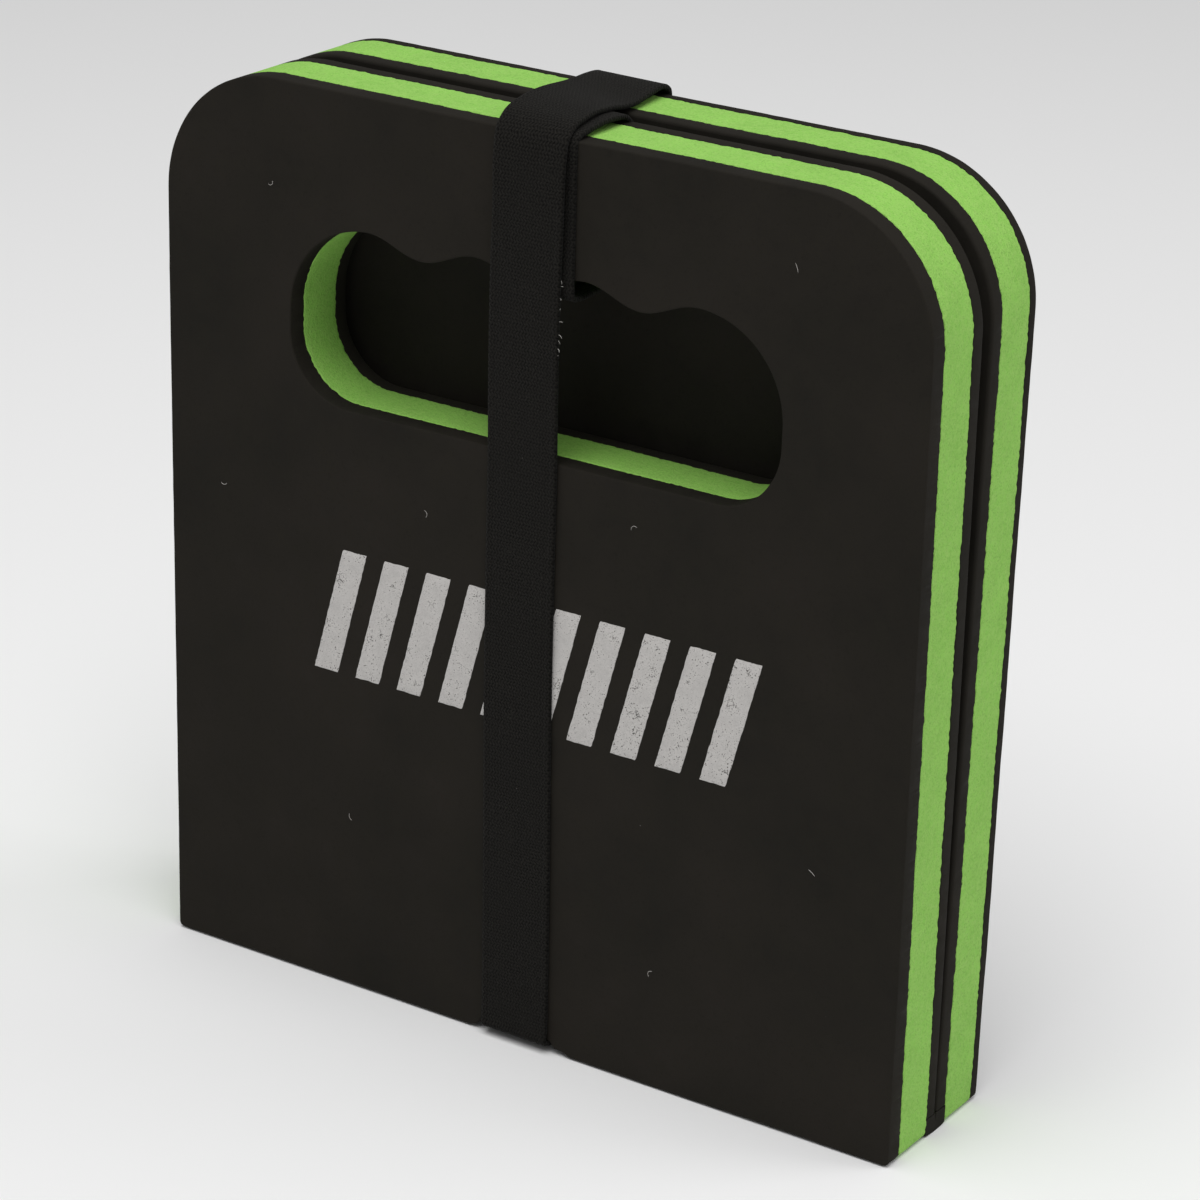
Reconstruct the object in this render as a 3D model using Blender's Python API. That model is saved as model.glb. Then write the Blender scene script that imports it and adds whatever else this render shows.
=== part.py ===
"""Folding foam kneeling pad with a handle cut-out and an elastic strap.

Two laminated foam panels are joined along one edge by the inner sheet, which bends as a living
hinge. The model is at rest with the pad folded and standing on that edge. X runs across the pad,
Y through its thickness with the handle panel towards -Y, and Z up from the fold.
"""

from math import cos, pi, radians, sin

import bmesh
import bpy
from mathutils import Vector

MM = 0.001

# Panels
WIDTH = 220 * MM
HEIGHT = 241 * MM
CORNER_RADIUS = 33.8 * MM
FRONT_SKIN = 5.7 * MM
REAR_SKIN = 3.2 * MM
CORE = 13.2 * MM
INNER_SKIN = 4.6 * MM
CORNER_STEPS = 12

# Gaps
FACE_GAP = 0.3 * MM         # between two touching pieces
PANEL_GAP = 5.2 * MM        # air between the folded panels' inner faces
CLOSING_GAP = 0.15 * MM     # each cut edge stops this short of the fold's centre when flat

# Handle cut-out, measured up from the fold
HOLE_HALF_WIDTH = 71.4 * MM
HOLE_BOTTOM = 160 * MM
HOLE_TOP = 207 * MM
HOLE_TOP_RADIUS = 24 * MM
HOLE_LOWER_RADIUS = 17.6 * MM
FINGER_DEPTH = 4.2 * MM
FINGER_PITCH = (HOLE_HALF_WIDTH - HOLE_TOP_RADIUS) / 1.5
FINGER_STEPS = 8
HOLE_ARC_STEPS = 8

# Fold
FOLD_HEIGHT = 5 * MM        # thickness of the bent sheet under the seam
RELIEF_ANGLES = (-80, -70)  # degrees, planes that round the core's inner edge for the fold
RELIEF_CLEARANCE = 0.12 * MM

# Strap
WEBBING_WIDTH = 20 * MM
WEBBING = 1.3 * MM
BEND_RADIUS = 0.8 * MM
BEND_STEPS = 4
STRAP_LIFT = 1.5 * MM       # the strap's underside above the surface that the pad stands on
NOTCH_HALF_WIDTH = 12 * MM
LOOP_SLACK = 2.4 * MM       # the small loop bows this far up off the handle bar
BAND_RISE_START = 188 * MM
BAND_RISE_END = 196 * MM
BAND_SHOULDER = 3.3 * MM    # slanted run where the band turns over the loop's front edge
BAND_DROOP = 1.7 * MM       # the band is this much lower over the rear panel than over the loop
BAND_DROOP_END = 8 * MM     # where it reaches that lower level, behind the fold's centre
REAR_SHOULDER = 2 * MM
TACK_WIDTH = 14 * MM
TACK_HEIGHT = 2.4 * MM
TACK_DEPTH = 0.6 * MM
LOOP_TACK_HEIGHT = 210 * MM
BAND_TACK_HEIGHT = 222 * MM
SWING_INSET = 2.4 * MM      # the band swings about a line this far inside the front face

# Outer faces, measured from the fold's centre plane
HALF_GAP = PANEL_GAP / 2
FRONT_FACE = HALF_GAP + INNER_SKIN + CORE + FRONT_SKIN
REAR_FACE = HALF_GAP + INNER_SKIN + CORE + REAR_SKIN

# The front skin is thicker and the strap is doubled in front, so the fold's centre plane lies a
# little behind the origin.
FRONT_STACK = 2 * (FACE_GAP + WEBBING) + TACK_DEPTH + FACE_GAP
REAR_STACK = FACE_GAP + WEBBING + TACK_DEPTH + FACE_GAP
FOLD_Y = (FRONT_FACE + FRONT_STACK - REAR_FACE - REAR_STACK) / 2
NOTCH_HEIGHT = STRAP_LIFT + WEBBING + FACE_GAP

SKIN_COLOUR = (0.018, 0.016, 0.013)
CORE_COLOUR = (0.215, 0.5, 0.075)
WEBBING_COLOUR = (0.011, 0.0105, 0.0095)
THREAD_COLOUR = (0.016, 0.015, 0.014)


def clear_scene():
    for obj in list(bpy.data.objects):
        bpy.data.objects.remove(obj, do_unlink=True)


def make_material(name, colour, roughness):
    material = bpy.data.materials.new(name)
    material.use_nodes = True
    shader = material.node_tree.nodes["Principled BSDF"]
    shader.inputs["Base Color"].default_value = (*colour, 1)
    shader.inputs["Roughness"].default_value = roughness
    shader.inputs["Metallic"].default_value = 0
    return material


def finish_object(bm, name, colour, roughness, parent=None):
    """Turns the bmesh, built in world coordinates, into a named object under its joint's empty."""
    bmesh.ops.recalc_face_normals(bm, faces=bm.faces)
    mesh = bpy.data.meshes.new(name)
    bm.to_mesh(mesh)
    bm.free()
    mesh.materials.append(make_material(name, colour, roughness))
    obj = bpy.data.objects.new(name, mesh)
    bpy.context.collection.objects.link(obj)
    if parent:
        obj.parent = parent
        obj.matrix_parent_inverse = parent.matrix_world.inverted()
    return obj


def make_axis(name, place, parent=None):
    """An empty on a hinge line that runs along X."""
    empty = bpy.data.objects.new(name, None)
    empty.location = place
    bpy.context.collection.objects.link(empty)
    bpy.context.view_layer.update()
    if parent:
        empty.parent = parent
        empty.matrix_parent_inverse = parent.matrix_world.inverted()
        bpy.context.view_layer.update()
    return empty


def arc(centre_x, centre_z, radius, start, end, steps):
    """Points along an arc in the XZ plane, both ends included, angles in degrees."""
    angles = [radians(start + (end - start) * i / steps) for i in range(steps + 1)]
    return [(centre_x + radius * cos(a), centre_z + radius * sin(a)) for a in angles]


def strap_notch():
    """The strap's recess in a bottom edge, from right to left."""
    half = NOTCH_HALF_WIDTH
    return [(half, 0), (half, NOTCH_HEIGHT), (-half, NOTCH_HEIGHT), (-half, 0)]


def panel_outline(bottom, notched):
    half = WIDTH / 2
    inset = half - CORNER_RADIUS
    top = HEIGHT - CORNER_RADIUS
    points = [(half, bottom)]
    if notched:
        points += strap_notch()
    points += [(-half, bottom)]
    points += arc(-inset, top, CORNER_RADIUS, 180, 90, CORNER_STEPS)
    points += arc(inset, top, CORNER_RADIUS, 90, 0, CORNER_STEPS)
    return points


def handle_outline():
    """Cut-out with round ends and four finger lobes along its top."""
    end_x = HOLE_HALF_WIDTH - HOLE_TOP_RADIUS
    end_z = HOLE_TOP - HOLE_TOP_RADIUS
    low_x = HOLE_HALF_WIDTH - HOLE_LOWER_RADIUS
    low_z = HOLE_BOTTOM + HOLE_LOWER_RADIUS
    right = arc(end_x, end_z, HOLE_TOP_RADIUS, 90, 0, HOLE_ARC_STEPS)
    right += arc(low_x, low_z, HOLE_LOWER_RADIUS, 0, -90, HOLE_ARC_STEPS)
    left = [(-x, z) for x, z in reversed(right)]
    fingers = []
    count = 3 * FINGER_STEPS
    for i in range(1, count):
        x = -end_x + 2 * end_x * i / count
        z = HOLE_TOP - FINGER_DEPTH / 2 * (1 + cos(2 * pi * x / FINGER_PITCH))
        fingers.append((x, z))
    return right + left + fingers


def make_slab(outlines, y_front, y_back):
    """A flat sheet between two Y planes. The first outline is its edge, the others are holes."""
    bm = bmesh.new()
    for outline in outlines:
        verts = [bm.verts.new((x, y_front, z)) for x, z in outline]
        for i, vert in enumerate(verts):
            bm.edges.new((vert, verts[(i + 1) % len(verts)]))
    bmesh.ops.triangle_fill(bm, use_beauty=True, edges=bm.edges[:])
    extruded = bmesh.ops.extrude_face_region(bm, geom=bm.faces[:])
    moved = [item for item in extruded["geom"] if isinstance(item, bmesh.types.BMVert)]
    bmesh.ops.translate(bm, vec=(0, y_back - y_front, 0), verts=moved)
    return bm


def fold_pivot(side, face):
    """Where a panel's hinge line crosses the YZ plane. Turning a quarter turn about it lays the
    panel's outer face down at the level of the fold, with its cut edge near the fold's centre."""
    return Vector((0, FOLD_Y + side * (face + CLOSING_GAP) / 2, (face - CLOSING_GAP) / 2))


def relieve_fold_edge(bm, side, face):
    """Trims the core's inner bottom edge, so that it clears the fold's centre as the panel turns."""
    pivot = fold_pivot(side, face)
    radius = abs(pivot.y - FOLD_Y) - RELIEF_CLEARANCE
    for angle in RELIEF_ANGLES:
        outward = Vector((0, -side * cos(radians(angle)), sin(radians(angle))))
        bmesh.ops.bisect_plane(
            bm, geom=bm.verts[:] + bm.edges[:] + bm.faces[:], dist=1e-7,
            plane_co=pivot + outward * radius, plane_no=outward, clear_outer=True)
        bmesh.ops.holes_fill(bm, edges=bm.edges[:], sides=0)


def make_panel(prefix, side, face, holes, parent):
    """Outer skin, core and inner skin of one panel. side is -1 in front and 1 behind, and face is
    its outer face's distance from the fold's centre plane."""
    core_outer = HALF_GAP + INNER_SKIN + CORE
    layers = (
        ("outer_skin", face, core_outer + FACE_GAP / 2, 0, SKIN_COLOUR),
        ("core", core_outer - FACE_GAP / 2, HALF_GAP + INNER_SKIN + FACE_GAP / 2, 0, CORE_COLOUR),
        ("inner_skin", HALF_GAP + INNER_SKIN - FACE_GAP / 2, HALF_GAP,
         FOLD_HEIGHT + FACE_GAP, SKIN_COLOUR),
    )
    for name, outer, inner, bottom, colour in layers:
        outlines = [panel_outline(bottom, notched=bottom == 0)] + holes
        bm = make_slab(outlines, FOLD_Y + side * outer, FOLD_Y + side * inner)
        if name == "core":
            relieve_fold_edge(bm, side, face)
        finish_object(bm, f"{prefix}_{name}", colour, 0.85, parent)


def make_fold_hinge():
    """The bent strip of the inner sheet, which joins the two panels under the seam."""
    half = WIDTH / 2
    reach = HALF_GAP + INNER_SKIN - FACE_GAP
    outline = [(half, 0)] + strap_notch() + [(-half, 0), (-half, FOLD_HEIGHT), (half, FOLD_HEIGHT)]
    bm = make_slab([outline], FOLD_Y - reach, FOLD_Y + reach)
    finish_object(bm, "fold_hinge", SKIN_COLOUR, 0.85)


def make_ring(name, path, parent):
    """A closed loop of webbing. path gives its inner face in the YZ plane, corner by corner."""
    bm = bmesh.new()
    verts = [bm.verts.new((-WEBBING_WIDTH / 2, FOLD_Y + y, z)) for y, z in path]
    for i, vert in enumerate(verts):
        bm.edges.new((vert, verts[(i + 1) % len(verts)]))
    bmesh.ops.bevel(bm, geom=verts, offset=BEND_RADIUS, offset_type="OFFSET", segments=BEND_STEPS,
                    profile=0.5, affect="VERTICES", material=-1)
    extruded = bmesh.ops.extrude_edge_only(bm, edges=bm.edges[:])
    moved = [item for item in extruded["geom"] if isinstance(item, bmesh.types.BMVert)]
    bmesh.ops.translate(bm, vec=(WEBBING_WIDTH, 0, 0), verts=moved)
    bmesh.ops.recalc_face_normals(bm, faces=bm.faces)
    obj = finish_object(bm, name, WEBBING_COLOUR, 0.9, parent)
    if not points_outward(obj):
        obj.data.flip_normals()
    solidify = obj.modifiers.new("webbing_thickness", "SOLIDIFY")
    solidify.thickness = WEBBING
    solidify.offset = 1
    solidify.use_even_offset = True
    return obj


def points_outward(obj):
    """Whether the ribbon's faces look away from the middle of its loop."""
    centre = sum((v.co for v in obj.data.vertices), Vector()) / len(obj.data.vertices)
    return sum((p.center - centre).dot(p.normal) * p.area for p in obj.data.polygons) > 0


def make_tack(name, y_near, direction, height, parent):
    """A bar-tack, the short dense bar of thread that stands on the webbing's outer face."""
    bm = bmesh.new()
    bmesh.ops.create_cube(bm, size=1)
    bmesh.ops.scale(bm, vec=(TACK_WIDTH, TACK_DEPTH, TACK_HEIGHT), verts=bm.verts)
    bmesh.ops.bevel(bm, geom=bm.edges[:], offset=TACK_DEPTH / 4, offset_type="OFFSET",
                    segments=2, profile=0.5, affect="EDGES", material=-1)
    centre_y = FOLD_Y + y_near + direction * TACK_DEPTH / 2
    bmesh.ops.translate(bm, vec=(0, centre_y, height), verts=bm.verts)
    finish_object(bm, name, THREAD_COLOUR, 0.7, parent)


def make_strap(front_axis):
    """The elastic band round both panels, and the small loop that ties it to the handle."""
    face = FRONT_FACE + FACE_GAP
    rear = REAR_FACE + FACE_GAP
    loop_rear = -HALF_GAP + FACE_GAP
    loop_top = HEIGHT + FACE_GAP + LOOP_SLACK
    loop_bottom = HOLE_TOP - FINGER_DEPTH - FACE_GAP
    loop_shoulder = HEIGHT + FACE_GAP
    loop_path = [(-face, loop_bottom), (-face, loop_shoulder), (-face + LOOP_SLACK, loop_top),
                 (loop_rear - LOOP_SLACK, loop_top), (loop_rear, loop_shoulder),
                 (loop_rear, loop_bottom)]
    make_ring("handle_loop", loop_path, front_axis)

    raised = face + WEBBING + FACE_GAP
    band_bottom = STRAP_LIFT + WEBBING
    band_top = loop_top + WEBBING + FACE_GAP
    rear_top = band_top - BAND_DROOP
    band_path = [(-face, band_bottom), (-face, BAND_RISE_START), (-raised, BAND_RISE_END),
                 (-raised, band_top - BAND_SHOULDER), (-raised + BAND_SHOULDER, band_top),
                 (0, band_top), (BAND_DROOP_END, rear_top), (rear - REAR_SHOULDER, rear_top),
                 (rear, rear_top - REAR_SHOULDER), (rear, band_bottom)]
    swing = Vector((0, FOLD_Y - FRONT_FACE + SWING_INSET, band_top + WEBBING / 2))
    band_axis = make_axis("band_axis", swing, front_axis)
    make_ring("strap_band", band_path, band_axis)
    make_tack("loop_stitching", -(raised + WEBBING + FACE_GAP), -1, LOOP_TACK_HEIGHT, band_axis)
    make_tack("band_stitching", rear + WEBBING + FACE_GAP, 1, BAND_TACK_HEIGHT, band_axis)


def main():
    clear_scene()
    front_axis = make_axis("front_fold_axis", fold_pivot(-1, FRONT_FACE))
    rear_axis = make_axis("rear_fold_axis", fold_pivot(1, REAR_FACE))
    make_panel("front", -1, FRONT_FACE, [handle_outline()], front_axis)
    make_panel("rear", 1, REAR_FACE, [], rear_axis)
    make_fold_hinge()
    make_strap(front_axis)


if __name__ == "__main__":
    main()
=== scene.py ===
"""Folding foam kneeling pad with an elastic strap: the finished surfaces, built around its CAD frame."""

import random
from math import ceil, cos, pi, radians, sin

import bmesh
import bpy
from bpy.props import FloatProperty, FloatVectorProperty, IntProperty, PointerProperty
from mathutils import Matrix, Vector, noise


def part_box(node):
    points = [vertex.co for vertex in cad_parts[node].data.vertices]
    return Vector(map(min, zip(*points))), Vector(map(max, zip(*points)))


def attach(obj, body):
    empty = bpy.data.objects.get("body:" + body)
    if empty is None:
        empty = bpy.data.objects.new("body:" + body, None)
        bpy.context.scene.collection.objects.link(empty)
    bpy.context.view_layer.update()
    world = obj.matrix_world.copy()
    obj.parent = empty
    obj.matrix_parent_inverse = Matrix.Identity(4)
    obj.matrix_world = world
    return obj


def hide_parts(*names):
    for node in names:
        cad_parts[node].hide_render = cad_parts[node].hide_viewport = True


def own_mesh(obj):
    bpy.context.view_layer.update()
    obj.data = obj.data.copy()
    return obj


bl_info = {
    "name": "Folding Kneeling Pad",
    "version": (1, 0, 0),
    "blender": (4, 5, 0),
    "location": "3D View > Sidebar > Kneeling Pad",
    "description": "Builds a laminated foam kneeling pad with its elastic strap",
    "category": "Object",
}

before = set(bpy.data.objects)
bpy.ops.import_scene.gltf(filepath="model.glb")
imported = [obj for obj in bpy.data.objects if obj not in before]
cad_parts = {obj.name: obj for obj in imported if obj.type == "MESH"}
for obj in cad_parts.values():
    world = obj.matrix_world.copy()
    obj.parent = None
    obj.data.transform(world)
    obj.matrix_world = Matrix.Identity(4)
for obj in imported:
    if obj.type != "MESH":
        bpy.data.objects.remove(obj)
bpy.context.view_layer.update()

MM = 0.001
SKIN_LOW, SKIN_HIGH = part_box("front_outer_skin")
CORE_LOW, CORE_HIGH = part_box("front_core")
LINER_LOW, LINER_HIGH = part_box("front_inner_skin")
REAR_SKIN_LOW, REAR_SKIN_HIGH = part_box("rear_outer_skin")
REAR_CORE_LOW, REAR_CORE_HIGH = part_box("rear_core")
REAR_LINER_LOW, REAR_LINER_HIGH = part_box("rear_inner_skin")
_, WEB_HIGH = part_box("fold_hinge")
BAND_LOW, BAND_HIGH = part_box("strap_band")
LOOP_TACK_LOW, LOOP_TACK_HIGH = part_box("loop_stitching")
BAND_TACK_LOW, BAND_TACK_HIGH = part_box("band_stitching")

HEIGHT = SKIN_HIGH.z
FRONT_FACE = SKIN_LOW.y
REAR_FACE = REAR_SKIN_HIGH.y
OUTLINE_STEP = 0.55 * MM
BOUNDARY_DEPTH = 0.3 * MM       # how far a layer's ragged cut edge reaches from where it is glued
GROOVE = 0.22 * MM              # how far a layer's cut edge draws back where it is glued
SEAM = 0.25 * MM                # half the width of the slit between the panels at their foot
SEAM_DEPTH = 2.2 * MM           # how far that slit runs down into the fold web

# The dent in the foot under the strap: half widths of its floor, and of its floor and slopes
DENT_FLOOR, DENT_WIDTH = 10.3 * MM, 12.8 * MM
BESIDE_DEPTH = 1.1 * MM         # the shallow hollow beside that dent, which is wider on the right

# X of the band's middle against its height in millimetres, up the front and down the back
FRONT_DRIFT = ((0, 0.4), (25, 0.2), (60, -0.1), (95, -0.5), (130, -0.5), (158, -0.3), (180, 0.2),
               (205, 1.0), (222, 1.7), (245, 2.0))
REAR_DRIFT = ((0, 0.1), (60, -0.2), (110, -0.7), (160, -1.4), (205, -2.3), (232, -3.0), (245, -3.2))

# The band's path in millimetres: height and gap up the front, then how far behind the front face,
# height and roll in degrees over the top, and last the heights down the back
BAND_FRONT = ((3.6, 0.65), (7.5, 0.3), (25, 0.12), (60, 0.12), (95, 0.12), (130, 0.12), (158, 0.2),
              (180, 1.2), (205, 2.2), (222, 2.6))
BAND_TOP = ((-3.3, 231.0, 1), (-3.1, 236.5, 1.5), (-2.1, 241.3, 2), (1.8, 244.2, 2.5), (7.5, 245.2, 3.2),
            (12.5, 245.45, 3.7), (17.5, 245.2, 4.9), (22.0, 244.75, 5.8), (26.5, 244.15, 6.8),
            (31.0, 243.8, 6.8), (36.0, 243.8, 5.4), (41.0, 244.0, 3.4), (45.5, 243.9, 1.1),
            (48.7, 242.9, 0.3), (50.3, 240.4, 0))
BAND_REAR = (230, 205, 160, 110, 60, 25)
BAND_REAR_GAP = 0.12 * MM
TOP_START, TOP_LENGTH = -3.3, 53.6      # the stretch over the top in which the drift changes sides

# The handle loop's path in millimetres, in the same way
LOOP_TOP = ((-0.7, 237.5), (-0.3, 240.4), (1.0, 241.9), (4.0, 242.5), (8.0, 243.0), (12.5, 243.3),
            (17.5, 243.1), (21.5, 242.2))
LOOP_GAP = 0.05 * MM

# Along one stitch: how far along, and its radius and rise as shares of the thread's radius
STITCH_PROFILE = ((0, 0.45, -0.6), (0.2, 1, 0.1), (0.5, 1, 0.4), (0.8, 1, 0.1), (1, 0.45, -0.6))

# Heights of the frayed rubber ends, and X and Z of the lint's tufts, in millimetres
FRAY_HEIGHTS = (188.5, 190.2, 192.6, 193.8, 196.9, 199.4, 203.1, 206.0, 207.2)
LINT_PLACES = ((-78, 214), (-52, 48), (40, 31), (86, 72), (-92, 132), (74, 221), (31, 148), (-30, 139))


# ---------------------------------------------------------------- outlines

def smooth(value, low, high):
    """0 below low, 1 above high, and a smooth rise between them."""
    t = min(max((value - low) / (high - low), 0.0), 1.0)
    return t * t * (3 - 2 * t)


def arc(centre_x, centre_z, radius, start, end):
    """Closely spaced points along an arc in the XZ plane, angles in degrees."""
    steps = max(2, ceil(abs(radians(end - start)) * radius / OUTLINE_STEP))
    angles = [radians(start + (end - start) * i / steps) for i in range(steps + 1)]
    return [Vector((centre_x + radius * cos(a), centre_z + radius * sin(a))) for a in angles]


def resample(points, step):
    """The closed line through the points, divided into equal steps of about the given length."""
    lengths = [(points[(i + 1) % len(points)] - p).length for i, p in enumerate(points)]
    count = round(sum(lengths) / step)
    spacing = sum(lengths) / count
    result = []
    walked, target = 0.0, 0.0
    for i, point in enumerate(points):
        follower = points[(i + 1) % len(points)]
        while target < walked + lengths[i] and len(result) < count:
            result.append(point.lerp(follower, (target - walked) / lengths[i]))
            target += spacing
        walked += lengths[i]
    return result


def strap_dent(x):
    """How far the strap has pressed into the foam's bottom edge at this x."""
    pad = bpy.context.scene.kneeler_foam
    under = pad.dent_depth * smooth(x, -DENT_WIDTH, -DENT_FLOOR) * smooth(-x, -DENT_WIDTH, -DENT_FLOOR)
    beside = BESIDE_DEPTH * smooth(x, -15 * MM, -10 * MM) * smooth(-x, -17.2 * MM, -13.6 * MM)
    return max(under, beside)


def panel_outline(bottom, nip):
    """A panel's edge seen from the front, anticlockwise from the bottom right corner. nip is the
    radius of its bottom corners."""
    pad = bpy.context.scene.kneeler_foam
    half, radius = pad.width / 2, pad.corner_radius
    points = arc(half - nip, bottom + nip, nip, -90, 0)
    points += arc(half - radius, HEIGHT - radius, radius, 0, 90)
    points += arc(radius - half, HEIGHT - radius, radius, 90, 180)
    points += arc(nip - half, bottom + nip, nip, 180, 270)
    points = resample(points, OUTLINE_STEP)
    for point in points:
        point.y += max(0.0, strap_dent(point.x) + pad.foot_lift - bottom) * (point.y < bottom + 0.3 * MM)
    return points


def hole_outline():
    """The handle cut-out, with four finger lobes along its top."""
    pad = bpy.context.scene.kneeler_foam
    end_x = pad.hole_half_width - pad.hole_top_radius
    low_x = pad.hole_half_width - pad.hole_low_radius
    low_z = pad.hole_bottom + pad.hole_low_radius
    pitch = end_x / 1.5
    points = arc(low_x, low_z, pad.hole_low_radius, -90, 0)
    points += arc(end_x, pad.hole_top - pad.hole_top_radius, pad.hole_top_radius, 0, 90)
    steps = ceil(2 * end_x / OUTLINE_STEP)
    for i in range(1, steps):
        x = end_x - 2 * end_x * i / steps
        points.append(Vector((x, pad.hole_top - pad.finger_depth / 2 * (1 + cos(2 * pi * x / pitch)))))
    points += arc(-end_x, pad.hole_top - pad.hole_top_radius, pad.hole_top_radius, 90, 180)
    points += arc(-low_x, low_z, pad.hole_low_radius, 180, 270)
    return resample(points, OUTLINE_STEP)


def outward(points):
    """Unit normals of an anticlockwise closed outline, away from what it encloses."""
    count = len(points)
    result = []
    for i in range(count):
        along = points[(i + 2) % count] - points[i - 2]
        result.append(Vector((along.y, -along.x)).normalized())
    return result


# ---------------------------------------------------------------- foam layers

def ripple(x, z, seed, size):
    """Smooth noise over the XZ plane, with features of about this size."""
    return noise.noise(Vector((x / size, seed, z / size)))


def ragged(x, z, seed):
    """The uneven line that a blade leaves between two glued foams."""
    return 0.22 * MM * ripple(x, z, seed, 2.9 * MM) + 0.5 * MM * ripple(x, z, seed + 9, 1.15 * MM)


def cut_wander(x, z, seed):
    """How far a layer's cut edge stands proud of, or behind, the true outline."""
    return 0.16 * MM * ripple(x, z, seed + 3, 31 * MM) + 0.05 * MM * ripple(x, z, seed + 5, 4.3 * MM)


def extrude_ring(bm, ring, places):
    """Extrudes a closed ring of vertices, puts the new ring in its places and returns it in order."""
    edges = [bm.edges.get((vert, ring[(i + 1) % len(ring)])) for i, vert in enumerate(ring)]
    made = bmesh.ops.extrude_edge_only(bm, edges=edges)["geom"]
    fresh = {item for item in made if isinstance(item, bmesh.types.BMVert)}
    grown = []
    for vert, place in zip(ring, places):
        copy = next(e.other_vert(vert) for e in vert.link_edges if e.other_vert(vert) in fresh)
        copy.co = place
        grown.append(copy)
    return grown


def first_ring(bm, places):
    """A closed ring of new vertices and edges."""
    ring = [bm.verts.new(place) for place in places]
    for i, vert in enumerate(ring):
        bm.edges.new((vert, ring[(i + 1) % len(ring)]))
    return ring


def ring_edges(bm, ring):
    """The edges of a closed ring, in order."""
    return [bm.edges.get((vert, ring[(i + 1) % len(ring)])) for i, vert in enumerate(ring)]


def span(ring, start, end):
    """The vertices of a closed ring from one index round to another."""
    return [ring[(start + i) % len(ring)] for i in range((end - start) % len(ring) + 1)]


def close_rings(bm, rings):
    """Closes the inside of a ring, or the area between an outer ring and the ring of a hole. The
    second is filled as a right and a left half, joined above and below the hole."""
    if len(rings) == 1:
        loops = [ring_edges(bm, rings[0])]
    else:
        middle = sum(vert.co.z for vert in rings[1]) / len(rings[1])
        ends = []
        for ring in rings:
            above = [i for i, vert in enumerate(ring) if vert.co.z > middle]
            below = [i for i, vert in enumerate(ring) if vert.co.z < middle]
            ends.append([min(indices, key=lambda i: abs(ring[i].co.x)) for indices in (below, above)])
        bridges = [bm.edges.new((rings[0][ends[0][k]], rings[1][ends[1][k]])) for k in (0, 1)]
        loops = []
        for turn in (0, 1):
            edges = list(bridges)
            for ring, (low, high) in zip(rings, ends):
                part = span(ring, low, high) if turn == 0 else span(ring, high, low)
                edges += [bm.edges.get(pair) for pair in zip(part, part[1:])]
            loops.append(edges)
    made = []
    for edges in loops:
        made += bmesh.ops.edgeloop_fill(bm, edges=edges)["faces"]
    return bmesh.ops.triangulate(bm, faces=made, ngon_method="EAR_CLIP")["faces"]


def rounded_edge(radius, steps=5):
    """(inset, depth) pairs that round an edge, from the flat face down its side."""
    turns = [pi / 2 * i / steps for i in range(steps + 1)]
    return [(radius * (1 - sin(t)), radius * (1 - cos(t))) for t in turns]


def lean(y, z, side):
    """Y of a point once its panel leans on its top edge, so that the folded pair closes downwards."""
    pad = bpy.context.scene.kneeler_foam
    return y - side * pad.lean * (1 - min(z / HEIGHT, 1.0))


def make_layer(name, outer_y, inner_y, side, outlines, profile, seeds):
    """One foam sheet. profile lists (inset, depth) from its outer face to its inner face; seeds are
    the noise seeds of the ragged lines at its outer and inner faces, or None where it isn't glued."""
    pad_depth = abs(inner_y - outer_y)
    bm = bmesh.new()
    first, last = [], []
    for outline, grow in outlines:
        normals = outward(outline)
        ring = None
        for inset, depth in profile:
            places = []
            for point, normal in zip(outline, normals):
                spread = inset - cut_wander(point.x, point.y, seeds[2])
                place = point - normal * spread * grow
                wave = 0.0
                if seeds[0] is not None and depth < BOUNDARY_DEPTH:
                    wave = ragged(place.x, place.y, seeds[0])
                if seeds[1] is not None and depth > pad_depth - BOUNDARY_DEPTH:
                    wave = ragged(place.x, place.y, seeds[1])
                y = outer_y - side * depth + wave
                places.append(Vector((place.x, lean(y, place.y, side), place.y)))
            if ring is None:
                ring = first_ring(bm, places)
                first.append(ring)
            else:
                ring = extrude_ring(bm, ring, places)
        last.append(ring)
    flat = set(close_rings(bm, first) + close_rings(bm, last))
    return finish_mesh(bm, name, flat=flat)


def finish_mesh(bm, name, sharp_angle=38, flat=()):
    """Turns bm into an object. The faces in flat are shaded flat, and all others smooth."""
    bmesh.ops.recalc_face_normals(bm, faces=bm.faces)
    for face in bm.faces:
        face.smooth = True
    bm.faces.index_update()
    flat_indices = [face.index for face in flat]
    mesh = bpy.data.meshes.new(name)
    bm.to_mesh(mesh)
    bm.free()
    mesh.set_sharp_from_angle(angle=radians(sharp_angle))
    for i in flat_indices:
        mesh.polygons[i].use_smooth = False
    obj = bpy.data.objects.new(name, mesh)
    bpy.context.scene.collection.objects.link(obj)
    return obj


def dress(obj, material, body, slot, *nodes):
    """Gives a finished piece its material and the body that it moves with, and hides the frame's parts that
    it stands for.
    """
    obj.data.materials.append(material)
    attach(obj, body)
    if nodes:
        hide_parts(*nodes)
    return obj


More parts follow.
